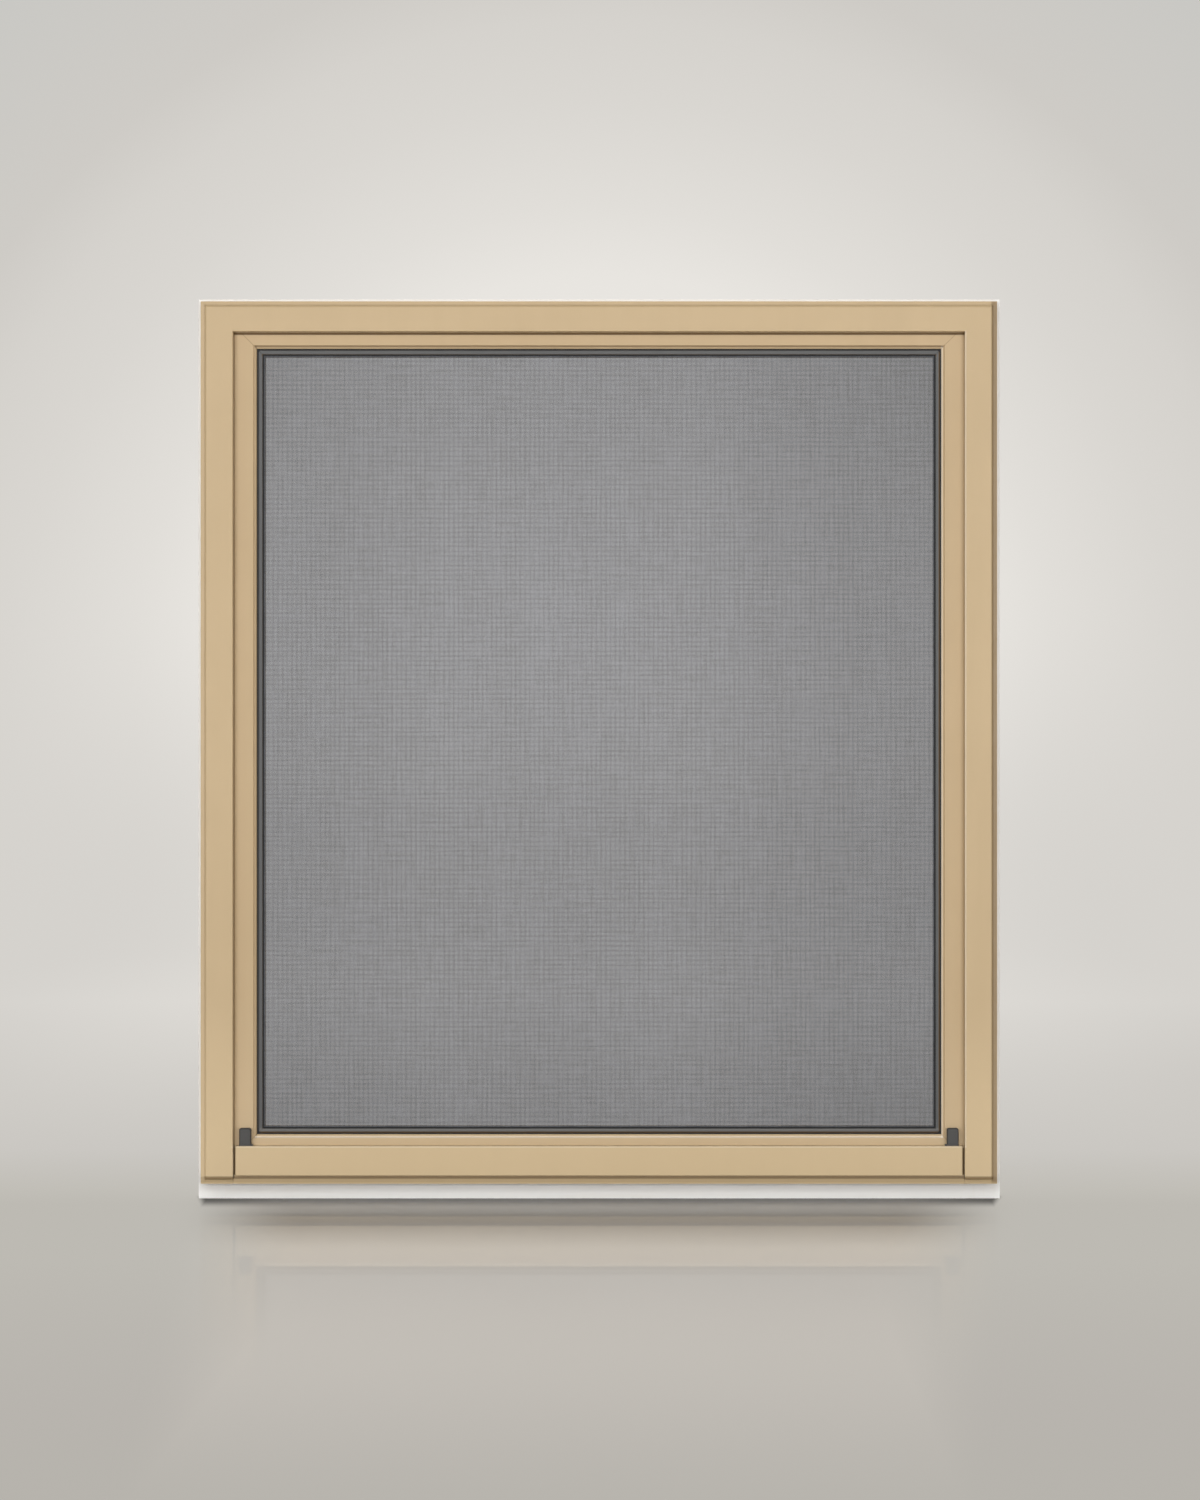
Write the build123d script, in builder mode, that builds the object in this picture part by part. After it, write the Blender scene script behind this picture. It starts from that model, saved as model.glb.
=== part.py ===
"""Fixed storm window: white base frame, tan aluminium cladding and sash, insect screen and glass.

Millimetres, +Z up, the outdoor face towards -Y. The origin is at the middle of the bottom of the
overall box, so the window stands on its sill at z = 0.
"""

import os
from math import radians, tan

from build123d import *

# White base frame
base_width = 805.0
base_height = 903.0
base_depth = 60.0
jamb_thickness = 27.6
head_thickness = 18.0
sill_thickness = 33.0
stop_rise = 18.9
stop_edge = 1.5

# Tan cladding of the frame
cladding_stand = 22.0
cladding_reveal = 4.0
cladding_top_reveal = 3.5
cladding_bottom_reveal = 16.5
cladding_wall = 1.8
jamb_face = 32.4
head_face = 30.4
border_flange = 4.0
border_round = 2.6
flange_slope = 0.6
border_inner = 0.6
inner_edge_round = 0.8
return_back = 6.2
return_wall = 1.6
leg_inset = 9.0
leg_depth = 8.0
kerf_room = 0.8
kerf_room_deep = 0.5

# Sill lip and the cover rail in front of it
lip_height = 5.3
cover_height = 30.0
cover_gap_below = 2.7
cover_gap_end = 2.4
cover_wall = 1.8
cover_round = 1.2
cover_corner = 1.6
cover_rib = 1.6
platform_gap = 0.6
lip_joint = 0.2

# Sash
sash_set_back = 9.0
sash_depth = 33.0
sash_face = 27.0
sash_top_show = 13.5
sash_wall = 1.8
step_drop = 2.2
step_edge = 0.5
lip_width = 2.8
lip_edge = 0.8
ledge_width = 7.0
glass_pocket = 3.5
packer_side = 2.0
packer_below = 2.5
packer_length = 60.0
packer_inset = 5.0
sash_key_leg = 60.0
sash_key_room = 0.2
sash_key_margin = 9.0
weep_length = 25.0
weep_width = 5.0
weep_spacing = 400.0

# Corner stops
stop_block_width = 11.8
stop_block_height = 17.6
stop_block_inset = 6.1
stop_block_front = 2.0
stop_block_round = 2.2
stop_block_edge = 1.0
stop_base_height = 1.4
stop_base_reach = 1.8
stop_base_front = 0.6
stop_tongue_width = 4.0
stop_tongue_height = 3.0
stop_tongue_rise = 8.5
stop_tongue_room = 0.1
stop_tongue_past = 1.5

# Insect screen
screen_bar = 6.4
screen_depth = 7.5
screen_corner = 3.4
screen_edge = 0.8
screen_wall = 0.8
screen_seal_width = 1.5
screen_seal_front = 1.2
spline_groove_start = 4.1
spline_groove_width = 1.7
spline_groove_depth = 2.6
spline_width = 1.4
spline_room = 0.1
spline_sink = 0.3
mesh_drop = 1.0
mesh_wall = 0.5
mesh_turn = 0.15
mesh_turn_depth = 1.4
mesh_room = 0.03
weave_width = 1.6
weave_rise = 0.2
weave_margin = 1.6
gap_size = 2.4
gap_columns = 8
gap_rows = 10
gap_step = 6
screen_key_leg = 24.0
screen_key_room = 0.25

# Glass and its seals
glass_thickness = 4.0
glass_edge_room = 2.0
tape_thickness = 2.0
tape_width = 6.0
bead_wall = 1.8
bead_edge = 1.2
bead_hook = 2.0
bead_room = 0.1
glass_block_length = 60.0

# Weatherstrips
rear_strip_thickness = 4.0
front_strip_width = 4.0
front_strip_inset = 2.2
rear_strip_width = 8.0
rear_strip_inset = 2.0

# Screws and installation holes
screw_radius = 1.9
screw_head_radius = 4.0
screw_head_angle = 82.0
screw_length = 72.0
screw_room = 0.05
screw_front = 14.0
screw_back = 44.0
install_radius = 2.75
install_back = 16.0
install_edge_distance = 130.0

seat_gap = 0.3

# Places worked out from the sizes above
front_y = -(cladding_stand + base_depth) / 2
base_front = cladding_stand
base_back = cladding_stand + base_depth
base_half = base_width / 2
rebate_half = base_half - jamb_thickness
opening_half = rebate_half - stop_rise
rebate_top = base_height - head_thickness
opening_top = rebate_top - stop_rise
rebate_bottom = sill_thickness
opening_bottom = rebate_bottom + stop_rise

clad_half = base_half - cladding_reveal
clad_bottom = cladding_bottom_reveal
clad_top = base_height - cladding_top_reveal
clad_inner_half = clad_half - jamb_face
return_front = return_back - return_wall

cover_half = clad_inner_half - cover_gap_end
cover_bottom = clad_bottom + lip_height + cover_gap_below
cover_top = cover_bottom + cover_height

sash_half = rebate_half - packer_side
sash_bottom = rebate_bottom + packer_below
sash_top = clad_top - head_face - sash_top_show + sash_face
sash_back = sash_set_back + sash_depth
stop_front = sash_back + rear_strip_thickness
lip_front = sash_set_back + step_drop
lip_inset = sash_face + lip_width
ledge_inset = lip_inset + ledge_width
tube_width = sash_face - glass_pocket

screen_inset = lip_inset + screen_seal_width
screen_front = lip_front + screen_edge
screen_back = screen_front + screen_depth
screen_half = sash_half - screen_inset
screen_bottom = sash_bottom + screen_inset
screen_top = sash_top - screen_inset
ledge_back = screen_back + sash_wall

glass_front = ledge_back + tape_thickness
glass_back = glass_front + glass_thickness
glass_inset = tube_width + glass_edge_room
wedge_back = glass_back + tape_thickness


def behind(depth):
    """Y of a plane at a depth behind the foremost face."""
    return front_y + depth


def facing(depth):
    """Plane at a depth, facing the back: local x to the left as seen from outdoors, local y up."""
    return Plane((0, behind(depth), 0), x_dir=(-1, 0, 0), z_dir=(0, 1, 0))


def ring_side(name, half, low, high):
    """Start plane and length of one side of a rectangle: local x points inwards, local y to the back."""
    starts = {
        "top": ((-half, front_y, high), (0, 0, -1), (1, 0, 0), 2 * half),
        "right": ((half, front_y, high), (-1, 0, 0), (0, 0, -1), high - low),
        "bottom": ((half, front_y, low), (0, 0, 1), (-1, 0, 0), 2 * half),
        "left": ((-half, front_y, low), (1, 0, 0), (0, 0, 1), high - low),
    }
    origin, inwards, along, length = starts[name]
    return Plane(origin, x_dir=inwards, z_dir=along), length


def mitre(side, length, own, start, end):
    """Cut both ends of a bar from its outer to its inner corner, by its own and its neighbours' widths."""
    start_line = side.z_dir * own - side.x_dir * start
    end_line = side.z_dir * -own - side.x_dir * end
    split(bisect_by=Plane(side.origin, x_dir=side.y_dir, z_dir=start_line), keep=Keep.TOP)
    far_end = side.origin + side.z_dir * length
    split(bisect_by=Plane(far_end, x_dir=side.y_dir, z_dir=end_line), keep=Keep.TOP)


def finish(piece, name):
    """Label one piece and write it to its own file."""
    piece.part.label = name
    export_step(piece.part, f"parts/{name}.step")


def ring(name, front, back, half, low, high, width):
    """Write a flat rectangular ring, such as a tape or a weatherstrip."""
    with BuildPart() as strip:
        with BuildSketch(facing(front)):
            with Locations((0, (low + high) / 2)):
                Rectangle(2 * half, high - low)
                Rectangle(2 * (half - width), high - low - 2 * width, mode=Mode.SUBTRACT)
        extrude(amount=back - front)
    finish(strip, name)


# Base frame


def cut_kerf():
    """Groove round the front of the base frame that takes the cladding's legs."""
    outer = leg_inset - kerf_room
    inner = leg_inset + return_wall + kerf_room
    middle = (clad_bottom + clad_top) / 2
    height = clad_top - clad_bottom
    with BuildSketch(facing(base_front)) as groove:
        with Locations((0, middle)):
            Rectangle(2 * (clad_half - outer), height - 2 * outer)
            Rectangle(2 * (clad_half - inner), height - 2 * inner, mode=Mode.SUBTRACT)
    extrude(groove.sketch, amount=leg_depth + kerf_room_deep, mode=Mode.SUBTRACT)


def screw_heights():
    """Heights of the frame screws, through the middle of the sill board and the head board."""
    return (sill_thickness / 2, base_height - head_thickness / 2)


def cut_screw_holes():
    """Holes for the frame screws, with sinks for their heads at the outer faces."""
    for side in (-1, 1):
        outer = Plane((side * base_half, behind(base_front), 0), x_dir=(0, 1, 0), z_dir=(side, 0, 0))
        radii = (screw_radius + screw_room, screw_head_radius + screw_room)
        with Locations(outer):
            with Locations(*[(d, side * z) for d in (screw_front, screw_back) for z in screw_heights()]):
                CounterSinkHole(*radii, screw_length + seat_gap)


def cut_install_holes(side):
    """Three holes through a jamb for the screws that fix the window in its wall."""
    inner = Plane((side * opening_half, behind(base_back), 0), x_dir=(0, -1, 0), z_dir=(-side, 0, 0))
    middle = base_height / 2
    heights = (install_edge_distance, middle, base_height - install_edge_distance)
    with Locations(inner):
        with Locations(*[(install_back, side * z) for z in heights]):
            Hole(install_radius, jamb_thickness + stop_rise)


def base_jamb(name, side):
    """One white jamb: a full-height board with a stop at the back that the sash seats against."""
    with BuildPart() as jamb:
        with BuildSketch():
            with BuildLine():
                Polyline(
                    (side * base_half, behind(base_front)),
                    (side * rebate_half, behind(base_front)),
                    (side * rebate_half, behind(stop_front)),
                    (side * opening_half, behind(stop_front)),
                    (side * opening_half, behind(base_back) - stop_edge),
                    (side * (opening_half + stop_edge), behind(base_back)),
                    (side * base_half, behind(base_back)),
                    close=True,
                )
            make_face()
        extrude(amount=base_height)
        cut_kerf()
        cut_screw_holes()
        cut_install_holes(side)
    finish(jamb, name)


def base_board(name, outer, rebate, opening):
    """White head or sill between the jambs, coped round their stops."""
    inwards = 1 if opening > outer else -1
    with BuildPart() as board:
        with BuildSketch(Plane.YZ.offset(-rebate_half)):
            with Locations(((behind(base_front) + behind(stop_front)) / 2, (outer + rebate) / 2)):
                Rectangle(stop_front - base_front, abs(rebate - outer))
        extrude(amount=2 * rebate_half)
        with BuildSketch(Plane.YZ.offset(-opening_half)):
            with BuildLine():
                Polyline(
                    (behind(stop_front), outer),
                    (behind(stop_front), opening),
                    (behind(base_back) - stop_edge, opening),
                    (behind(base_back), opening - inwards * stop_edge),
                    (behind(base_back), outer),
                    close=True,
                )
            make_face()
        extrude(amount=2 * opening_half)
        cut_kerf()
        cut_screw_holes()
    finish(board, name)


def frame_screws():
    """Eight countersunk screws that hold the jambs to the head and the sill."""
    head_height = (screw_head_radius - screw_radius) / tan(radians(screw_head_angle / 2))
    from_head = (Align.CENTER, Align.CENTER, Align.MIN)
    with BuildPart() as screws:
        for side in (-1, 1):
            for depth in (screw_front, screw_back):
                for height in screw_heights():
                    start = (side * base_half, behind(base_front + depth), height)
                    with Locations(Plane(start, z_dir=(-side, 0, 0))):
                        Cone(screw_head_radius, screw_radius, head_height, align=from_head)
                        Cylinder(screw_radius, screw_length, align=from_head)
    finish(screws, "frame_screws")


def packers():
    """Blocks that centre the sash in the base frame: two under it and two at each side."""
    front = behind(sash_set_back + packer_inset)
    thick = sash_depth - 2 * packer_inset
    with BuildPart() as blocks:
        with BuildSketch(Plane.XZ.offset(-front)):
            with Locations(*[(side * rebate_half / 2, rebate_bottom) for side in (-1, 1)]):
                Rectangle(packer_length, packer_below, align=(Align.CENTER, Align.MIN))
            for side in (-1, 1):
                for height in (install_edge_distance, base_height - install_edge_distance):
                    with Locations((side * (sash_half + rebate_half) / 2, height)):
                        Rectangle(packer_side, packer_length)
        extrude(amount=-thick)
    finish(blocks, "sash_packers")


# Cladding


def cladding_bar(name, face, start, end):
    """One mitred side of the cladding: an open shell with a stepped, rounded border and a barbed leg."""
    side, length = ring_side(name, clad_half, clad_bottom, clad_top)
    step = border_flange + border_round
    edge = face - inner_edge_round
    inner = face - cladding_wall
    leg_back = cladding_stand + leg_depth
    with BuildPart() as bar:
        with BuildSketch(side):
            with BuildLine():
                CenterArc((step, border_round), border_round, 180, 90)
                Line((step, 0), (edge, 0))
                CenterArc((edge, inner_edge_round), inner_edge_round, 270, 90)
                Polyline(
                    (face, inner_edge_round),
                    (face, sash_set_back - seat_gap),
                    (inner, sash_set_back - seat_gap),
                    (inner, return_back),
                    (leg_inset + return_wall, return_back),
                    (leg_inset + return_wall, leg_back),
                    (leg_inset, leg_back),
                    (leg_inset, return_front),
                    (inner, return_front),
                    (inner, cladding_wall),
                    (step + border_inner, cladding_wall),
                    (border_flange + cladding_wall, border_round + cladding_wall),
                    (cladding_wall, border_round + flange_slope + cladding_wall),
                    (cladding_wall, cladding_stand),
                    (0, cladding_stand),
                    (0, border_round + flange_slope),
                    (border_flange, border_round),
                )
            make_face()
        extrude(amount=length)
        mitre(side, length, face, start, end)
    return bar.part


def cladding_head():
    """Tan cladding along the top."""
    with BuildPart() as head:
        add(cladding_bar("top", head_face, jamb_face, jamb_face))
    finish(head, "cladding_head")


def cladding_jamb(name, side_name, side):
    """Tan cladding of one jamb, with a welded return that closes its bottom corner."""
    ends = (jamb_face, head_face) if side_name == "left" else (head_face, jamb_face)
    with BuildPart() as jamb:
        add(cladding_bar("bottom", jamb_face, jamb_face, jamb_face))
        split(bisect_by=Plane((side * clad_inner_half, 0, 0), z_dir=(side, 0, 0)), keep=Keep.TOP)
        add(cladding_bar(side_name, jamb_face, *ends))
    finish(jamb, name)


def cladding_sill():
    """Bottom lip between the jambs, with the platform that carries the cover rail."""
    side, length = ring_side("bottom", clad_inner_half - lip_joint, clad_bottom, clad_top)
    platform = cover_top - clad_bottom - cover_wall - platform_gap
    leg_back = cladding_stand + leg_depth
    with BuildPart() as lip:
        with BuildSketch(side):
            with BuildLine():
                Polyline(
                    (0, cladding_stand),
                    (0, border_round + flange_slope),
                    (lip_height, border_round),
                    (lip_height, return_front),
                    (platform, return_front),
                    (platform, return_back),
                    (leg_inset + return_wall, return_back),
                    (leg_inset + return_wall, leg_back),
                    (leg_inset, leg_back),
                    (leg_inset, return_back),
                    (cladding_wall, return_back),
                    (cladding_wall, cladding_stand),
                    close=True,
                )
            make_face()
        extrude(amount=length)
    finish(lip, "cladding_sill")


def cover_rail():
    """Tan channel that snaps over the sill platform, flush with the jambs, with rounded edges."""
    side, length = ring_side("bottom", cover_half, cover_bottom, cover_top)
    rib_low = (cover_height - cover_rib) / 2
    with BuildPart() as cover:
        with BuildSketch(side):
            with BuildLine():
                Polyline(
                    (0, 0),
                    (cover_height, 0),
                    (cover_height, sash_set_back - seat_gap),
                    (cover_height - cover_wall, sash_set_back - seat_gap),
                    (cover_height - cover_wall, cover_wall),
                    (rib_low + cover_rib, cover_wall),
                    (rib_low + cover_rib, return_front),
                    (rib_low, return_front),
                    (rib_low, cover_wall),
                    (cover_wall, cover_wall),
                    (cover_wall, return_front),
                    (0, return_front),
                    close=True,
                )
            make_face()
        extrude(amount=length)
        fillet(cover.edges().filter_by(Axis.Y).group_by(Axis.Z)[0], cover_corner)
        fillet(cover.faces().sort_by(Axis.Y)[0].edges(), cover_round)
    finish(cover, "sill_cover_rail")


def corner_stop(name, side):
    """Dark moulded block on the cover rail that holds one bottom corner of the sash."""
    middle = side * (clad_inner_half - stop_block_inset - stop_block_width / 2)
    with BuildPart() as stop:
        with BuildSketch(facing(stop_block_front)):
            with Locations((-middle, cover_top)):
                Rectangle(stop_block_width, stop_block_height, align=(Align.CENTER, Align.MIN))
            fillet(vertices().group_by(Axis.Y)[-1], stop_block_round)
        extrude(amount=sash_set_back - stop_block_front)
        chamfer(faces().sort_by(Axis.Y)[0].edges(), stop_block_edge)
        with BuildSketch(facing(stop_base_front)):
            with Locations((-(middle - side * stop_base_reach / 2), cover_top)):
                foot = (stop_block_width + stop_base_reach, stop_base_height)
                Rectangle(*foot, align=(Align.CENTER, Align.MIN))
        extrude(amount=sash_set_back - stop_base_front)
        with BuildSketch(facing(sash_set_back)):
            with Locations((-middle, cover_top + stop_tongue_rise)):
                Rectangle(stop_tongue_width, stop_tongue_height)
        extrude(amount=sash_wall + stop_tongue_past)
    finish(stop, name)


# Sash


def cut_tongue_slots():
    """Slots through the front wall of the stiles for the tongues of the corner stops."""
    middle = clad_inner_half - stop_block_inset - stop_block_width / 2
    height = cover_top + stop_tongue_rise
    with BuildSketch(facing(sash_set_back)) as slots:
        with Locations((middle, height), (-middle, height)):
            Rectangle(stop_tongue_width + 2 * stop_tongue_room, stop_tongue_height + 2 * stop_tongue_room)
    extrude(slots.sketch, amount=sash_wall, mode=Mode.SUBTRACT)


def cut_weeps():
    """Two slots through the floor of the glass pocket, which drain into the bottom rail."""
    floor = Plane.XY.offset(sash_bottom + tube_width)
    middle = (glass_back + sash_back) / 2
    with BuildSketch(floor) as slots:
        with Locations((-weep_spacing / 2, behind(middle)), (weep_spacing / 2, behind(middle))):
            Rectangle(weep_length, weep_width)
    extrude(slots.sketch, amount=-sash_wall, mode=Mode.SUBTRACT)


def corner_keys(name, outer_half, low, high, width, leg, front, back):
    """Four L-shaped keys that join mitred bars from inside."""
    with BuildPart() as keys:
        with BuildSketch(facing(front)):
            for side in (-1, 1):
                for corner, inwards in ((low, 1), (high, -1)):
                    with Locations((side * (outer_half - leg / 2), corner + inwards * width / 2)):
                        Rectangle(leg, width)
                    with Locations((side * (outer_half - width / 2), corner + inwards * leg / 2)):
                        Rectangle(width, leg)
        extrude(amount=back - front)
    finish(keys, name)


def sash_bar(name, side_name):
    """One mitred hollow bar of the tan sash, with the screen rebate in front and the glass pocket behind."""
    side, length = ring_side(side_name, sash_half, sash_bottom, sash_top)
    corner = (Align.MIN, Align.MIN)
    with BuildPart() as bar:
        with BuildSketch(side):
            with BuildLine():
                Polyline(
                    (0, sash_set_back),
                    (sash_face - step_edge, sash_set_back),
                    (sash_face, sash_set_back + step_edge),
                    (sash_face, lip_front),
                    (lip_inset - lip_edge, lip_front),
                    (lip_inset, lip_front + lip_edge),
                    (lip_inset, screen_back),
                    (ledge_inset, screen_back),
                    (ledge_inset, ledge_back),
                    (tube_width, ledge_back),
                    (tube_width, sash_back),
                    (0, sash_back),
                    close=True,
                )
            make_face()
            with Locations((sash_wall, sash_set_back + sash_wall)):
                tube = (tube_width - 2 * sash_wall, sash_depth - 2 * sash_wall)
                Rectangle(*tube, align=corner, mode=Mode.SUBTRACT)
            with Locations((tube_width, lip_front + sash_wall)):
                nose = (lip_inset - sash_wall - tube_width, screen_back - lip_front - 2 * sash_wall)
                Rectangle(*nose, align=corner, mode=Mode.SUBTRACT)
        extrude(amount=length)
        mitre(side, length, sash_face, sash_face, sash_face)
        if side_name in ("left", "right"):
            cut_tongue_slots()
        if side_name == "bottom":
            cut_weeps()
    finish(bar, name)


def sash_keys():
    """Corner keys in the hollow bars of the sash."""
    inset = sash_wall + sash_key_room
    corner_keys(
        "sash_corner_keys",
        sash_half - inset,
        sash_bottom + inset,
        sash_top - inset,
        tube_width - 2 * inset,
        sash_key_leg,
        sash_set_back + sash_key_margin,
        sash_back - sash_key_margin,
    )


# Insect screen


def screen_frame_bar(name, side_name):
    """One mitred bar of the screen frame, with the groove for the spline and a rounded outer corner."""
    side, length = ring_side(side_name, screen_half, screen_bottom, screen_top)
    groove_end = spline_groove_start + spline_groove_width
    groove_floor = screen_front + spline_groove_depth
    lip = screen_front + mesh_drop
    wall = screen_wall
    with BuildPart() as bar:
        with BuildSketch(side):
            with BuildLine():
                Polyline(
                    (0, screen_front + screen_edge),
                    (screen_edge, screen_front),
                    (spline_groove_start, screen_front),
                    (spline_groove_start, groove_floor),
                    (groove_end, groove_floor),
                    (groove_end, lip),
                    (screen_bar, lip),
                    (screen_bar, screen_back),
                    (0, screen_back),
                    close=True,
                )
            make_face()
            with BuildLine():
                Polyline(
                    (wall, screen_front + screen_edge),
                    (spline_groove_start - wall, screen_front + screen_edge),
                    (spline_groove_start - wall, groove_floor + wall),
                    (screen_bar - wall, groove_floor + wall),
                    (screen_bar - wall, screen_back - wall),
                    (wall, screen_back - wall),
                    close=True,
                )
            make_face(mode=Mode.SUBTRACT)
        extrude(amount=length)
        mitre(side, length, screen_bar, screen_bar, screen_bar)
        with BuildSketch(facing(screen_front)):
            with Locations((0, (screen_bottom + screen_top) / 2)):
                RectangleRounded(2 * screen_half, screen_top - screen_bottom, screen_corner)
        extrude(amount=screen_depth, mode=Mode.INTERSECT)
    finish(bar, name)


def screen_keys():
    """Corner keys in the hollow bars of the screen frame."""
    inset = screen_wall + screen_key_room
    corner_keys(
        "screen_corner_keys",
        screen_half - inset,
        screen_bottom + inset,
        screen_top - inset,
        screen_bar - 2 * inset,
        screen_key_leg,
        screen_front + spline_groove_depth + inset,
        screen_back - inset,
    )


def screen_seal():
    """Black strip in the gap between the sash lip and the screen frame, rounded inside at its corners."""
    half = sash_half - lip_inset
    height = sash_top - sash_bottom - 2 * lip_inset
    with BuildPart() as seal:
        with BuildSketch(facing(screen_front + screen_seal_front)):
            with Locations((0, (screen_bottom + screen_top) / 2)):
                Rectangle(2 * half, height)
                inner = (2 * screen_half, screen_top - screen_bottom)
                RectangleRounded(*inner, screen_corner, mode=Mode.SUBTRACT)
        extrude(amount=screen_depth - screen_seal_front)
    finish(seal, "screen_seal")


def screen_spline():
    """Rubber cord of eight sides, pressed into the groove all round over the turned edge of the mesh."""
    inset = spline_groove_start + spline_room + spline_width / 2
    depth = screen_front + spline_sink + spline_width / 2
    half = screen_half - inset
    low, high = screen_bottom + inset, screen_top - inset
    with BuildPart() as spline:
        with BuildLine(facing(depth)) as route:
            start = (half, (low + high) / 2)
            Polyline(start, (half, high), (-half, high), (-half, low), (half, low), start)
        with BuildSketch(Plane(route.line @ 0, x_dir=(0, 1, 0), z_dir=route.line % 0)):
            RegularPolygon(spline_width / 2, 8, major_radius=False, rotation=22.5)
        sweep(transition=Transition.RIGHT)
    finish(spline, "screen_spline")


def insect_mesh():
    """Woven mesh: a thin wall with warp ridges in front, weft ridges behind and gaps between them."""
    inset = spline_groove_start + spline_groove_width - mesh_turn - mesh_room
    half = screen_half - inset
    height = screen_top - screen_bottom - 2 * inset
    middle = (screen_bottom + screen_top) / 2
    wall_back = screen_front + mesh_drop
    wall_front = wall_back - mesh_wall
    field_width = 2 * (screen_half - screen_bar - weave_margin)
    field_height = screen_top - screen_bottom - 2 * (screen_bar + weave_margin)
    warp_count = gap_columns * gap_step
    weft_count = gap_rows * gap_step
    warp_pitch = field_width / warp_count
    weft_pitch = field_height / weft_count
    with BuildPart() as mesh:
        with BuildSketch(facing(wall_front)):
            with Locations((0, middle)):
                Rectangle(2 * half, height)
        extrude(amount=mesh_wall)
        with BuildSketch(facing(wall_back)):
            with Locations((0, middle)):
                Rectangle(2 * half, height)
                Rectangle(2 * (half - mesh_turn), height - 2 * mesh_turn, mode=Mode.SUBTRACT)
        extrude(amount=mesh_turn_depth)
        with BuildSketch(facing(wall_front)):
            with Locations((0, middle)):
                with GridLocations(warp_pitch, 0, warp_count, 1):
                    Rectangle(weave_width, field_height)
        extrude(amount=-weave_rise)
        with BuildSketch(facing(wall_back)):
            with Locations((0, middle)):
                with GridLocations(0, weft_pitch, 1, weft_count):
                    Rectangle(field_width, weave_width)
        extrude(amount=weave_rise)
        with BuildSketch(facing(wall_front)):
            with Locations((0, middle)):
                with GridLocations(gap_step * warp_pitch, gap_step * weft_pitch, gap_columns, gap_rows):
                    Rectangle(gap_size, gap_size)
        extrude(amount=mesh_wall, mode=Mode.SUBTRACT)
    finish(mesh, "insect_mesh")


# Glass and its seals


def storm_glass():
    """One pane of glass in the pocket of the sash."""
    low = sash_bottom + glass_inset
    high = sash_top - glass_inset
    with BuildPart() as pane:
        with BuildSketch(facing(glass_front)):
            with Locations((0, (low + high) / 2)):
                Rectangle(2 * (sash_half - glass_inset), high - low)
        extrude(amount=glass_thickness)
    finish(pane, "storm_glass")


def glass_blocks():
    """Two blocks that carry the glass, on the floor of its pocket."""
    quarter = (sash_half - glass_inset) / 2
    floor = sash_bottom + tube_width
    with BuildPart() as blocks:
        with BuildSketch(facing(glass_front)):
            with Locations((-quarter, floor), (quarter, floor)):
                Rectangle(glass_block_length, glass_edge_room, align=(Align.CENTER, Align.MIN))
        extrude(amount=glass_thickness)
    finish(blocks, "glass_setting_blocks")


def glazing_bead(name, side_name):
    """One mitred snap-in bead that holds the glass from indoors."""
    low, high = sash_bottom + tube_width, sash_top - tube_width
    side, length = ring_side(side_name, sash_half - tube_width, low, high)
    width = ledge_inset - tube_width
    with BuildPart() as bead:
        with BuildSketch(side):
            with BuildLine():
                Polyline(
                    (bead_room, wedge_back + bead_hook),
                    (bead_room + bead_wall, wedge_back + bead_hook),
                    (bead_room + bead_wall, sash_back - bead_wall),
                    (width - bead_wall, sash_back - bead_wall),
                    (width - bead_wall, wedge_back),
                    (width, wedge_back),
                    (width, sash_back - bead_edge),
                    (width - bead_edge, sash_back),
                    (bead_room, sash_back),
                    close=True,
                )
            make_face()
        extrude(amount=length)
        mitre(side, length, width, width, width)
    finish(bead, name)


def glazing_seals():
    """Tape in front of the glass and rubber wedge behind it, both along the ledge of the sash."""
    inset = ledge_inset - tape_width
    place = (sash_half - inset, sash_bottom + inset, sash_top - inset, tape_width)
    ring("exterior_glazing_tape", ledge_back, glass_front, *place)
    ring("interior_glazing_wedge", glass_back, wedge_back, *place)


def weatherstrips():
    """Strip between cladding and sash in front, and between sash and stop behind."""
    front = front_strip_inset
    low = cover_top - cover_wall - platform_gap - front - front_strip_width
    ring(
        "front_weatherstrip",
        return_back,
        sash_set_back,
        clad_inner_half + front + front_strip_width,
        low - front_strip_width,
        clad_top - head_face + front + front_strip_width,
        front_strip_width,
    )
    rear = rear_strip_inset
    place = (sash_half - rear, sash_bottom + rear, sash_top - rear, rear_strip_width)
    ring("rear_weatherstrip", sash_back, stop_front, *place)


os.makedirs("parts", exist_ok=True)

base_jamb("base_left_jamb", -1)
base_jamb("base_right_jamb", 1)
base_board("base_head", base_height, rebate_top, opening_top)
base_board("base_sill", 0, rebate_bottom, opening_bottom)
frame_screws()
packers()

cladding_head()
cladding_jamb("cladding_left_jamb", "left", -1)
cladding_jamb("cladding_right_jamb", "right", 1)
cladding_sill()
cover_rail()
corner_stop("left_corner_stop", -1)
corner_stop("right_corner_stop", 1)

sash_bar("sash_top_rail", "top")
sash_bar("sash_bottom_rail", "bottom")
sash_bar("sash_left_stile", "left")
sash_bar("sash_right_stile", "right")
sash_keys()

screen_frame_bar("screen_top_bar", "top")
screen_frame_bar("screen_bottom_bar", "bottom")
screen_frame_bar("screen_left_bar", "left")
screen_frame_bar("screen_right_bar", "right")
screen_keys()
screen_seal()
screen_spline()
insect_mesh()

storm_glass()
glass_blocks()
glazing_seals()
glazing_bead("glazing_bead_top", "top")
glazing_bead("glazing_bead_bottom", "bottom")
glazing_bead("glazing_bead_left", "left")
glazing_bead("glazing_bead_right", "right")
weatherstrips()
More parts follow.
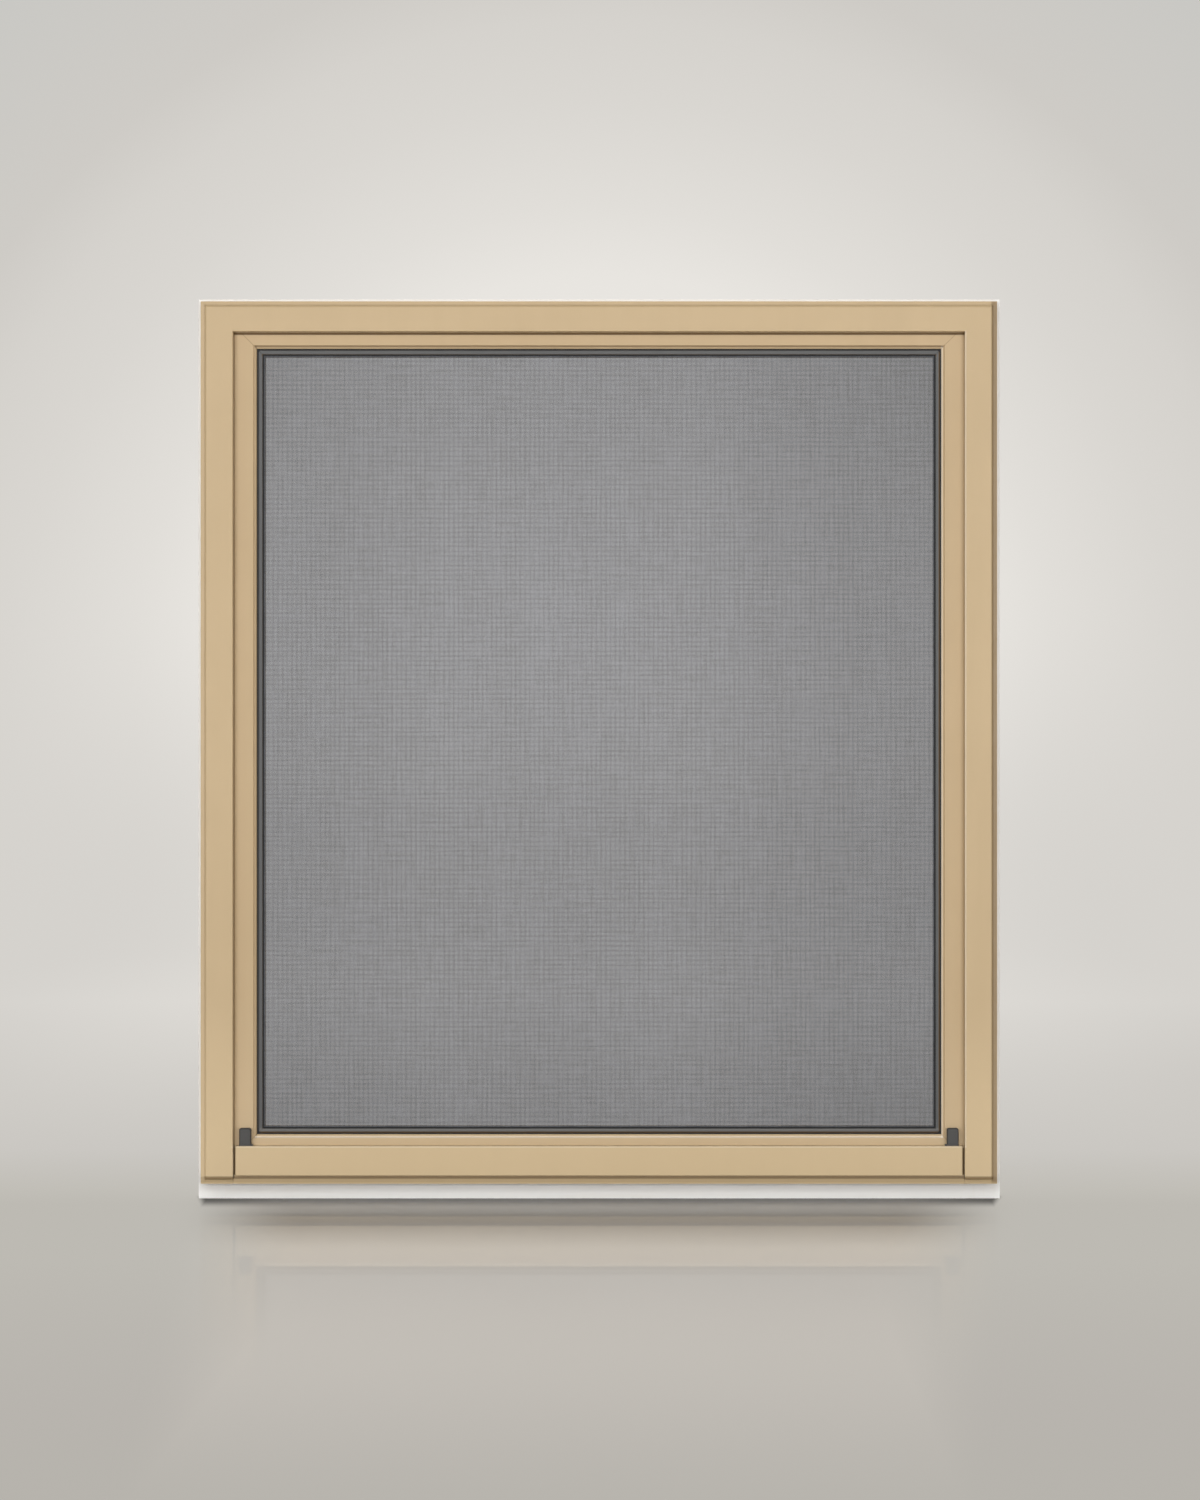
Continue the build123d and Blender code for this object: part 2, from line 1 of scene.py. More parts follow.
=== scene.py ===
"""Looks of the fixed storm window: coatings, paint, rubber, glass and the woven screen cloth.

Metres, +Z up, the outdoor face towards -Y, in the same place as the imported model.
"""

import logging
import math
from collections.abc import Mapping, Sequence
from dataclasses import dataclass
from enum import Enum
from typing import Protocol

import bpy
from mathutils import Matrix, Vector

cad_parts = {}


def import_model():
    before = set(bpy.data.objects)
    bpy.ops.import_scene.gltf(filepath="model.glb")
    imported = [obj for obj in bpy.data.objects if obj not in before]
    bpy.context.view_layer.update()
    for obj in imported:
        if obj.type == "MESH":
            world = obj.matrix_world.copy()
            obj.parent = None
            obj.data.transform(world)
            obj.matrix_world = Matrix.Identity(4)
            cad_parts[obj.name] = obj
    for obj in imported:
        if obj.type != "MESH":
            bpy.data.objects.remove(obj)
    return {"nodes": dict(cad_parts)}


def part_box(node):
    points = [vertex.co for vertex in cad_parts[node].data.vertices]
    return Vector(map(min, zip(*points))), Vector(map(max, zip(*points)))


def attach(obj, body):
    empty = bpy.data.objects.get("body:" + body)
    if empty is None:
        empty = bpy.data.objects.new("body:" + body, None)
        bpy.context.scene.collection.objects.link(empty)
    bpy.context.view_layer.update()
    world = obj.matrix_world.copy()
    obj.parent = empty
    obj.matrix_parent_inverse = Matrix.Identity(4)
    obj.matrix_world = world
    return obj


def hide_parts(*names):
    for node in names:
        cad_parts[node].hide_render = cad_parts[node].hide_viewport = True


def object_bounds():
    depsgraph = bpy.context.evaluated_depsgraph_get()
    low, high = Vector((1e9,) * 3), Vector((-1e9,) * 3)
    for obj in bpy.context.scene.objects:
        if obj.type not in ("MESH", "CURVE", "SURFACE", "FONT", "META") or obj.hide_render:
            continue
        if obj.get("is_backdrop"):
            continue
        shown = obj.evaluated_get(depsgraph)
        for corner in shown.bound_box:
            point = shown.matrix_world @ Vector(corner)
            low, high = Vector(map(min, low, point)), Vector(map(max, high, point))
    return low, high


LOG = logging.getLogger("storm_window")

Number = float | int
Colour = tuple[float, float, float, float]

BLACK: Colour = (0.0, 0.0, 0.0, 1.0)
# Tones of the painted shade in creases and gaps, and of the painted highlight along edges.
CREASE_SHADE: Colour = (0.11, 0.055, 0.006, 1.0)
EDGE_HIGHLIGHT: Colour = (0.95, 0.9, 0.8, 1.0)
# Colour of the painted shade under the cladding's lip.
LIP_SHADE: Colour = (0.02, 0.018, 0.015, 1.0)


def srgb(red: Number, green: Number, blue: Number) -> Colour:
    """Turns display values from 0 to 255 into the linear colour that a shader takes.

    Args:
        red: Display value of the red channel.
        green: Display value of the green channel.
        blue: Display value of the blue channel.

    Returns:
        The linear colour, with an alpha of 1.
    """
    linear = []
    for value in (red, green, blue):
        share = value / 255
        linear.append(share / 12.92 if share <= 0.04045 else ((share + 0.055) / 1.055) ** 2.4)
    return (linear[0], linear[1], linear[2], 1.0)


# Shader graphs


class Wire:
    """A socket's value in a shader graph, with arithmetic that adds the Math nodes."""

    def __init__(self, graph: "Graph", socket: bpy.types.NodeSocket) -> None:
        """Keeps the graph that the socket belongs to, and the socket."""
        self.graph = graph
        self.socket = socket

    def maths(self, operation: str, *values: "Wire | Number") -> "Wire":
        """The result of one Math node, whose inputs take these values in order."""
        return self.graph.node("ShaderNodeMath", {"operation": operation}, dict(enumerate(values)))

    def __add__(self, other: "Wire | Number") -> "Wire":
        """This value plus the other."""
        return self.maths("ADD", self, other)

    def __radd__(self, other: Number) -> "Wire":
        """The number plus this value."""
        return self.maths("ADD", other, self)

    def __sub__(self, other: "Wire | Number") -> "Wire":
        """This value less the other."""
        return self.maths("SUBTRACT", self, other)

    def __rsub__(self, other: Number) -> "Wire":
        """The number less this value."""
        return self.maths("SUBTRACT", other, self)

    def __mul__(self, other: "Wire | Number") -> "Wire":
        """This value times the other."""
        return self.maths("MULTIPLY", self, other)

    def __rmul__(self, other: Number) -> "Wire":
        """The number times this value."""
        return self.maths("MULTIPLY", other, self)

    def __truediv__(self, other: "Wire | Number") -> "Wire":
        """This value divided by the other."""
        return self.maths("DIVIDE", self, other)

    def __pow__(self, other: Number) -> "Wire":
        """This value to a power."""
        return self.maths("POWER", self, other)

    def __abs__(self) -> "Wire":
        """The size of this value, without its sign."""
        return self.maths("ABSOLUTE", self)

    def larger(self, other: "Wire | Number") -> "Wire":
        """The larger of this value and the other."""
        return self.maths("MAXIMUM", self, other)

    def fade(self, start: Number, end: Number) -> "Wire":
        """Runs smoothly from 0 to 1 between two values.

        Args:
            start: Value at which the result is 0.
            end: Value at which the result is 1. It may be below the start.

        Returns:
            The result, held between 0 and 1.
        """
        low, high, first, last = (start, end, 0.0, 1.0) if start < end else (end, start, 1.0, 0.0)
        return self.graph.node(
            "ShaderNodeMapRange",
            {"interpolation_type": "SMOOTHSTEP"},
            {"Value": self, "From Min": low, "From Max": high, "To Min": first, "To Max": last},
        )


class Graph:
    """The node tree of one material or world, filled by code."""

    def __init__(self, owner: bpy.types.Material | bpy.types.World) -> None:
        """Empties the tree.

        Args:
            owner: The material or world that the tree belongs to.
        """
        owner.use_nodes = True
        self.tree = owner.node_tree
        self.tree.nodes.clear()

    def node(
        self,
        kind: str,
        settings: Mapping[str, object] | None = None,
        values: Mapping[str | int, "Wire | Number | Sequence[float]"] | None = None,
        output: str | int = 0,
    ) -> Wire:
        """Adds one node, with its settings first and then its inputs.

        Args:
            kind: Blender's type name of the node.
            settings: Properties by name. "stops" gives a colour ramp's positions and colours.
            values: What each input takes, by its name or number: a wire to link, or a constant.
            output: Name or number of the output that is returned.

        Returns:
            That output.
        """
        made = self.tree.nodes.new(kind)
        for name, setting in (settings or {}).items():
            if name == "stops":
                self._stops(made.color_ramp, setting)
            else:
                setattr(made, name, setting)
        for name, value in (values or {}).items():
            if isinstance(value, Wire):
                self.tree.links.new(value.socket, made.inputs[name])
            else:
                made.inputs[name].default_value = value
        return Wire(self, made.outputs[output])

    @staticmethod
    def _stops(ramp: bpy.types.ColorRamp, stops: Sequence[tuple[float, Colour]]) -> None:
        """Gives a colour ramp its stops.

        Args:
            ramp: The ramp, which has two stops when new.
            stops: Position and colour of each stop, from left to right.
        """
        while len(ramp.elements) < len(stops):
            ramp.elements.new(1.0)
        for element, (position, colour) in zip(ramp.elements, stops):
            element.position = position
            element.color = colour

    def place(self) -> Wire:
        """Place on the object, in metres."""
        return self.node("ShaderNodeTexCoord", output="Object")

    def axes(self) -> tuple[Wire, Wire, Wire]:
        """X, Y and Z of the place on the object."""
        parts = self.node("ShaderNodeSeparateXYZ", values={"Vector": self.place()})
        return tuple(Wire(self, socket) for socket in parts.socket.node.outputs)

    def noise(self, scale: Number, detail: Number = 2.0, stretch: Sequence[float] = (1, 1, 1)) -> Wire:
        """Noise near 0.5, by its cells in one metre, its finer octaves and its scale along each axis."""
        place = self.node("ShaderNodeMapping", values={"Vector": self.place(), "Scale": stretch})
        return self.node("ShaderNodeTexNoise", values={"Vector": place, "Scale": scale, "Detail": detail})

    def blend(self, share: Wire, first: "Wire | Colour", second: "Wire | Colour") -> Wire:
        """The first colour, mixed with a share of the second from 0 to 1."""
        return self.node("ShaderNodeMix", {"data_type": "RGBA"}, {0: share, 6: first, 7: second}, 2)

    def relief(self, height: Wire, depth: Number, under: Wire | None = None) -> Wire:
        """Turns a height into a surface normal.

        Args:
            height: Height from 0 to 1.
            depth: What a height of 1 is, in metres.
            under: Normal of a relief that this one lies on.

        Returns:
            The normal.
        """
        values: dict[str | int, Wire | Number] = {"Height": height, "Distance": depth, "Strength": 1.0}
        if under is not None:
            values["Normal"] = under
        return self.node("ShaderNodeBump", values=values)

    def output(self, shader: Wire, kind: str = "ShaderNodeOutputMaterial") -> None:
        """Ends the graph in a shader. It can't use node(), because an output node has no output."""
        made = self.tree.nodes.new(kind)
        self.tree.links.new(shader.socket, made.inputs["Surface"])


# Finishes


class Finish(Protocol):
    """Something that can be made into a material."""

    def material(self) -> bpy.types.Material:
        """Makes the material."""


@dataclass(frozen=True)
class Rim:
    """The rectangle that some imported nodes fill, seen from outdoors.

    Attributes:
        half: Half of its width, to either side of the window's middle.
        low: Height of its bottom.
        high: Height of its top.
    """

    half: float
    low: float
    high: float

    @classmethod
    def of(cls, *names: str) -> "Rim":
        """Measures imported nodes.

        Args:
            names: The nodes.

        Returns:
            The rectangle round them all.
        """
        boxes = [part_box(name) for name in names]
        half = max(high.x for _, high in boxes)
        return cls(half, min(low.z for low, _ in boxes), max(high.z for _, high in boxes))

    def inset(self, side: float, bottom: float, top: float) -> "Rim":
        """The rectangle with its edges moved inwards, or outwards where a distance is below 0."""
        return Rim(self.half - side, self.low + bottom, self.high - top)


@dataclass(frozen=True)
class Seam:
    """A hairline at 45 degrees where two mitred bars meet, mirrored to both sides.

    Attributes:
        half: Distance of the outer corner from the middle of the window.
        height: Height of the outer corner.
        turn: 1 for a corner at the top, and -1 at the bottom.
        edge: Distance from the joint at which the line ends.
        core: Distance within which it is full.
    """

    half: float
    height: float
    turn: int
    edge: float = 0.0005
    core: float = 0.00012

    def mask(self, graph: Graph) -> Wire:
        """How much a place lies on the joint.

        Args:
            graph: Graph that it is for.

        Returns:
            1 on the joint, falling to 0 beside it.
        """
        x, _, z = graph.axes()
        across = ((self.half - abs(x)) * self.turn + (z - self.height)) / math.sqrt(2)
        return abs(across).fade(self.edge, self.core)


def mitres(rim: Rim) -> tuple[Seam, ...]:
    """The seams of the four mitred corners of a frame with this outline."""
    return (Seam(rim.half, rim.high, 1), Seam(rim.half, rim.low, -1))


@dataclass(frozen=True)
class Edging:
    """Narrow lines of another tone round the window: painted highlights along edges, and painted shade in
    creases, steps and gaps.

    A tone is below 0 for darker and above 0 for paler, and 0 leaves that side as it is.

    Attributes:
        rim: Where the middles of the lines run.
        width: Width of the lines.
        left: Tone of the left line.
        top: Tone of the top line.
        right: Tone of the right line.
        bottom: Tone of the bottom line.
    """

    rim: Rim
    width: float
    left: float = 0.0
    top: float = 0.0
    right: float = 0.0
    bottom: float = 0.0

    def draw(self, graph: Graph, colour: Wire) -> Wire:
        """Lays the lines over a colour.

        Args:
            graph: Graph that they are for.
            colour: The colour under them.

        Returns:
            The colour with the lines.
        """
        x, _, z = graph.axes()
        rim, width = self.rim, self.width
        level = (abs(x) - (rim.half + width / 2)).fade(width / 2, 0)
        above = (z - rim.low + width).fade(0, width)
        below = (rim.high + width - z).fade(0, width)
        upright = above * below
        sides = (
            (x + rim.half, upright, self.left),
            (x - rim.half, upright, self.right),
            (z - rim.high, level, self.top),
            (z - rim.low, level, self.bottom),
        )
        for across, along, tone in sides:
            if tone:
                # Painted shade where the tone is below 0, and painted highlight where it is above 0.
                mask = abs(across).fade(width * 0.7, width * 0.3) * along
                colour = graph.blend(mask * abs(tone), colour, CREASE_SHADE if tone < 0 else EDGE_HIGHLIGHT)
        return colour


@dataclass(frozen=True)
class PowderCoat:
    """Baked satin coating on an extrusion: fine orange peel, faint clouding, hairline mitres.

    Attributes:
        name: Name of the material.
        colour: Its colour.
        shade: Colour of the clouds and of the streaks along the extrusion.
        roughness: Mean roughness.
        peel: Depth of the orange peel.
        seams: Mitres that it shows.
        edgings: Lines of painted shade and painted highlight along its edges.
        low_light: Paler colour of its lowest part, painted light, or None.
        low_light_from: Height at which the paler colour sets in.
        low_light_to: Height at which it is strongest.
    """

    name: str
    colour: Colour
    shade: Colour
    roughness: float = 0.42
    peel: float = 0.000035
    seams: tuple[Seam, ...] = ()
    edgings: tuple[Edging, ...] = ()
    low_light: Colour | None = None
    low_light_from: float = 0.22
    low_light_to: float = 0.03

    def material(self) -> bpy.types.Material:
        """Makes the coating.

        Returns:
            The material.
        """
        material = bpy.data.materials.new(self.name)
        graph = Graph(material)
        clouds = graph.noise(9, 3).fade(0.3, 0.7)
        streaks = graph.noise(60, 2, (1, 1, 0.06)).fade(0.35, 0.7)
        colour = graph.blend(clouds * 0.6 + streaks * 0.25, self.colour, self.shade)
        # Painted light: the lowest part is made paler, as if lit more.
        if self.low_light:
            lowest = graph.axes()[2].fade(self.low_light_from, self.low_light_to)
            colour = graph.blend(lowest * 0.6, colour, self.low_light)
        normal = graph.relief(graph.noise(620, 2), self.peel)
        seam_dirt = tuple(channel * 0.35 for channel in self.colour[:3]) + (1.0,)
        for seam in self.seams:
            mask = seam.mask(graph)
            colour = graph.blend(mask * 0.3, colour, seam_dirt)
            normal = graph.relief(1 - mask, 0.0002, normal)
        for edging in self.edgings:
            colour = edging.draw(graph, colour)
        roughness = self.roughness + (graph.noise(140, 2) - 0.5) * 0.14
        shader = graph.node(
            "ShaderNodeBsdfPrincipled",
            values={"Base Color": colour, "Roughness": roughness, "Normal": normal, "IOR": 1.45},
        )
        graph.output(shader)
        return material


@dataclass(frozen=True)
class BrushedPaint:
    """White paint on planed wood: brush lines and grain that run along the board, and faint warmth.

    Attributes:
        name: Name of the material.
        colour: Its colour.
        warm: Warmer colour where the grain shows.
        along: Scale of the grain along each axis, small in the board's direction.
        lip: Height of the cladding's lower lip, under which the sill is darkened as painted shade.
    """

    name: str
    colour: Colour
    warm: Colour
    along: tuple[float, float, float]
    lip: float

    def material(self) -> bpy.types.Material:
        """Makes the paint.

        Returns:
            The material.
        """
        material = bpy.data.materials.new(self.name)
        graph = Graph(material)
        grain = graph.noise(180, 4, self.along)
        brush = graph.noise(700, 2, self.along)
        colour = graph.blend(grain.fade(0.45, 0.75) * 0.55, self.colour, self.warm)
        z = graph.axes()[2]
        # Painted shade: the sill is darker just under the cladding's lip.
        lip_shade = z.fade(0.002, self.lip) * z.fade(self.lip + 0.0135, self.lip + 0.0015) * 0.1
        colour = graph.blend(lip_shade, colour, LIP_SHADE)
        normal = graph.relief(grain, 0.00022, graph.relief(brush, 0.00006))
        shader = graph.node(
            "ShaderNodeBsdfPrincipled",
            values={"Base Color": colour, "Roughness": 0.36 + brush * 0.16, "Normal": normal},
        )
        graph.output(shader)
        return material


@dataclass(frozen=True)
class Moulded:
    """Moulded plastic or rubber with a fine spark-eroded texture and a little dust.

    Attributes:
        name: Name of the material.
        colour: Its colour.
        dust: Colour where dust lies on it.
        roughness: Roughness without dust.
        texture: Depth of the texture.
        cells: Cells of the texture in one metre.
    """

    name: str
    colour: Colour
    dust: Colour
    roughness: float
    texture: float
    cells: float = 900

    def material(self) -> bpy.types.Material:
        """Makes the plastic or rubber.

        Returns:
            The material.
        """
        material = bpy.data.materials.new(self.name)
        graph = Graph(material)
        texture = graph.node("ShaderNodeTexVoronoi", values={"Vector": graph.place(), "Scale": self.cells})
        dust = graph.noise(45, 4).fade(0.5, 0.8)
        shader = graph.node(
            "ShaderNodeBsdfPrincipled",
            values={
                "Base Color": graph.blend(dust * 0.5, self.colour, self.dust),
                "Roughness": self.roughness + dust * 0.12,
                "Normal": graph.relief(texture, self.texture),
            },
        )
        graph.output(shader)
        return material


@dataclass(frozen=True)
class BareMetal:
    """Mill-finish aluminium or zinc-plated steel with drawing lines.

    Attributes:
        name: Name of the material.
        colour: Its colour.
        stain: Colour where it is stained.
        roughness: Roughness where it is clean.
    """

    name: str
    colour: Colour
    stain: Colour
    roughness: float

    def material(self) -> bpy.types.Material:
        """Makes the metal.

        Returns:
            The material.
        """
        material = bpy.data.materials.new(self.name)
        graph = Graph(material)
        lines = graph.noise(500, 3, (1, 1, 0.05))
        stain = graph.noise(70, 3).fade(0.4, 0.75)
        shader = graph.node(
            "ShaderNodeBsdfPrincipled",
            values={
                "Base Color": graph.blend(stain, self.colour, self.stain),
                "Metallic": 1.0,
                "Roughness": self.roughness + stain * 0.18,
                "Normal": graph.relief(lines, 0.00003),
            },
        )
        graph.output(shader)
        return material


def shade_veil(graph: Graph) -> Wire:
    """Painted shade on the screen and pane, least in the middle and most at the upper right.

    Args:
        graph: Graph that it is for.

    Returns:
        How much it darkens a place.
    """
    x, _, z = graph.axes()
    to_both_sides = abs(x).fade(0.05, 0.34) * 0.10
    to_the_right = x / 6
    to_the_top = z.fade(0.45, 0.85) * 0.09
    return to_both_sides + to_the_right + to_the_top


@dataclass(frozen=True)
class CoatedYarn:
    """Vinyl-coated glass yarn of the insect screen, a cool dark grey that varies over the cloth.

    Attributes:
        name: Name of the material.
        colour: Its colour.
        pale: Colour where the yarn is stretched or thick.
    """

    name: str
    colour: Colour
    pale: Colour

    def material(self) -> bpy.types.Material:
        """Makes the yarn's coating.

        Returns:
            The material.
        """
        material = bpy.data.materials.new(self.name)
        graph = Graph(material)
        tension = graph.noise(30, 3, (1, 1, 0.15)).fade(0.3, 0.75)
        slubs = graph.noise(420, 2).fade(0.35, 0.7)
        warp_hatch = graph.noise(460, 1, (1, 1, 0.06))
        weft_hatch = graph.noise(460, 1, (0.06, 1, 1))
        hatch = (warp_hatch + weft_hatch).fade(0.85, 1.15)
        colour = graph.blend(tension * 0.3 + slubs * 0.25 + hatch * 0.6, self.colour, self.pale)
        shader = graph.node(
            "ShaderNodeBsdfPrincipled",
            values={
                # Painted shade: the yarn is darkened towards the sides, the right and the top.
                "Base Color": graph.blend(shade_veil(graph), colour, BLACK),
                "Roughness": 0.5 + slubs * 0.15,
                "Normal": graph.relief(slubs, 0.00004),
            },
        )
        graph.output(shader)
        return material


@dataclass(frozen=True)
class FloatGlass:
    """Clear float glass with the faint cool tint of its thickness and a slight roller wave.

    Attributes:
        name: Name of the material.
        tint: Colour of the light that passes through.
    """

    name: str
    tint: Colour

    def material(self) -> bpy.types.Material:
        """Makes the glass.

        Returns:
            The material.
        """
        material = bpy.data.materials.new(self.name)
        graph = Graph(material)
        haze = graph.noise(12, 3).fade(0.4, 0.8)
        shader = graph.node(
            "ShaderNodeBsdfPrincipled",
            values={
                # Painted shade: the pane is darkened towards the sides, the right and the top.
                "Base Color": graph.blend(shade_veil(graph), self.tint, BLACK),
                "Roughness": haze * 0.03,
                "IOR": 1.5,
                "Transmission Weight": 1.0,
                "Normal": graph.relief(graph.noise(7, 1), 0.00008),
            },
        )
        graph.output(shader)
        return material


# Modelling


class Workbench:
    """Blender's own tools, started from a clean selection."""

    @staticmethod
    def clear() -> None:
        """Deselects every object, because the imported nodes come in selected."""
        if bpy.context.object and bpy.context.object.mode != "OBJECT":
            bpy.ops.object.mode_set(mode="OBJECT")
        bpy.ops.object.select_all(action="DESELECT")

    @staticmethod
    def pick(*pieces: bpy.types.Object) -> bpy.types.Object:
        """Selects some pieces alone, and makes the first the active one.

        Args:
            pieces: The pieces.

        Returns:
            The first.
        """
        Workbench.clear()
        for piece in pieces:
            piece.select_set(True)
        bpy.context.view_layer.objects.active = pieces[0]
        return pieces[0]

    @staticmethod
    def settle(piece: bpy.types.Object) -> None:
        """Puts a piece's place, turn and size into its mesh, so its object sits at the origin."""
        Workbench.pick(piece)
        bpy.ops.object.transform_apply(location=True, rotation=True, scale=True)

    @staticmethod
    def apply(piece: bpy.types.Object, kind: str, **settings: object) -> None:
        """Adds a modifier to a piece and applies it.

        Args:
            piece: The piece.
            kind: Blender's type name of the modifier.
            settings: Its properties.
        """
        Workbench.pick(piece)
        made = piece.modifiers.new(kind.title(), kind)
        for name, value in settings.items():
            setattr(made, name, value)
        bpy.ops.object.modifier_apply(modifier=made.name)


class Run(Enum):
    """The upright and the level yarns, each with the direction from one yarn to the next."""

    WARP = (1.0, 0.0, 0.0)
    WEFT = (0.0, 0.0, 1.0)


@dataclass
class ScreenCloth:
    """Woven insect cloth, stretched over the screen frame and turned down into the spline groove.

    Attributes:
        pitch: Distance from one yarn to the next.
        yarn_width: Width of a yarn, pressed flat by the loom.
        yarn_thickness: Thickness of a yarn.
        yarn_sides: Sides of a yarn's section.
        hem_wall: Wall of the edge that is turned into the groove.
        lead: How far the yarns lie behind the front of the node that the cloth stands for.
    """

    pitch: float = 0.00127
    yarn_width: float = 0.0005
    yarn_thickness: float = 0.00018
    yarn_sides: int = 6
    hem_wall: float = 0.0003
    lead: float = 0.0003

    def __post_init__(self) -> None:
        """Reads the cloth's room from the node that it stands for."""
        low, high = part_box("insect_mesh")
        self.low = low
        self.high = high
        self.middle = (low + high) / 2
        self.face = low.y + self.lead

    def _yarns(self, run: Run) -> bpy.types.Object:
        """Makes the yarns of one direction from a single flattened yarn.

        Args:
            run: Direction of the yarns.

        Returns:
            All the yarns as one piece.
        """
        upright = run is Run.WARP
        length = self.high.z - self.low.z if upright else self.high.x - self.low.x
        spread = self.high.x - self.low.x if upright else self.high.z - self.low.z
        count = int((spread - self.yarn_width) / self.pitch)
        start = -count * self.pitch / 2
        depth = self.face + self.yarn_thickness * (0.5 if upright else 1.5)
        across = Vector(run.value)
        centre = Vector((self.middle.x, depth, self.middle.z)) + across * start
        Workbench.clear()
        bpy.ops.mesh.primitive_cylinder_add(
            vertices=self.yarn_sides,
            radius=self.yarn_width / 2,
            depth=length,
            location=centre,
            rotation=(0, 0, 0) if upright else (0, math.pi / 2, 0),
        )
        yarn = bpy.context.object
        Workbench.settle(yarn)
        yarn.name = f"yarn_{run.name.lower()}"
        depths = [vertex.co.y for vertex in yarn.data.vertices]
        flatten = self.yarn_thickness / (max(depths) - min(depths))
        bpy.ops.object.mode_set(mode="EDIT")
        bpy.ops.mesh.select_all(action="SELECT")
        bpy.ops.transform.resize(value=(1, flatten, 1), center_override=centre)
        bpy.ops.object.mode_set(mode="OBJECT")
        Workbench.apply(
            yarn,
            "ARRAY",
            count=count + 1,
            use_relative_offset=False,
            use_constant_offset=True,
            constant_offset_displace=across * self.pitch,
        )
        return yarn

    def _hem(self) -> bpy.types.Object:
        """Makes the edge of the cloth that is turned down into the groove, as a thin closed band.

        Returns:
            The band.
        """
        Workbench.clear()
        bpy.ops.mesh.primitive_plane_add(size=1, location=(self.middle.x, 0, self.middle.z))
        hem = bpy.context.object
        hem.name = "hem"
        hem.rotation_euler = (math.pi / 2, 0, 0)
        hem.scale = (self.high.x - self.low.x, self.high.z - self.low.z, 1)
        hem.location.y = self.high.y
        Workbench.settle(hem)
        bpy.ops.object.mode_set(mode="EDIT")
        bpy.ops.mesh.select_all(action="SELECT")
        bpy.ops.mesh.inset(thickness=self.hem_wall)
        bpy.ops.mesh.delete(type="FACE")
        bpy.ops.mesh.select_all(action="SELECT")
        rise = self.face + 2 * self.yarn_thickness - self.high.y
        bpy.ops.mesh.extrude_region_move(TRANSFORM_OT_translate={"value": (0, rise, 0)})
        bpy.ops.mesh.select_all(action="SELECT")
        bpy.ops.mesh.normals_make_consistent(inside=False)
        bpy.ops.object.mode_set(mode="OBJECT")
        return hem

    def build(self, finish: Finish) -> bpy.types.Object:
        """Args:
            finish: The yarn's coating.

        Returns:
            The cloth, as one piece.
        """
        cloth = Workbench.pick(self._yarns(Run.WARP), self._yarns(Run.WEFT), self._hem())
        bpy.ops.object.join()
        cloth.name = "woven_screen_cloth"
        cloth.data.materials.clear()
        cloth.data.materials.append(finish.material())
        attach(cloth, "root")
        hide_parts("insect_mesh")
        return cloth


@dataclass
class PackedParts:
    """The window's rigid pieces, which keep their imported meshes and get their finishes.

    Attributes:
        nodes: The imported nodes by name.
    """

    nodes: Mapping[str, bpy.types.Object]

    def dress(self, finish: Finish, *names: str) -> None:
        """Gives some nodes one finish.

        Args:
            finish: The finish.
            names: Starts of the nodes' names.
        """
        material = finish.material()
        for name, node in self.nodes.items():
            if name.startswith(names):
                node.data.materials.clear()
                node.data.materials.append(material)
                LOG.info("%s gets %s", name, material.name)


class Assembly(Protocol):
    """A sub-assembly of the window."""

    def dress(self, parts: PackedParts) -> None:
        """Gives its pieces their finishes."""


@dataclass
class BaseFrame:
    """White painted wood frame behind the cladding, with its screws.

    Attributes:
        white: Colour of the paint.
        cream: Its warmer colour over the grain.
        grain: Scale of the grain along a board, where it is 1 across the board.
    """

    white: Colour = srgb(251, 251, 250)
    cream: Colour = srgb(246, 244, 240)
    grain: float = 0.05

    def dress(self, parts: PackedParts) -> None:
        """Paints the boards and plates the screws.

        Args:
            parts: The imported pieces.
        """
        lip = Rim.of("cladding_sill").low
        upright = BrushedPaint("white_paint_upright", self.white, self.cream, (1, 1, self.grain), lip)
        level = BrushedPaint("white_paint_level", self.white, self.cream, (self.grain, 1, 1), lip)
        parts.dress(upright, "base_left", "base_right")
        parts.dress(level, "base_head", "base_sill")
        parts.dress(BareMetal("zinc_steel", srgb(190, 192, 196), srgb(170, 166, 140), 0.28), "frame_screws")


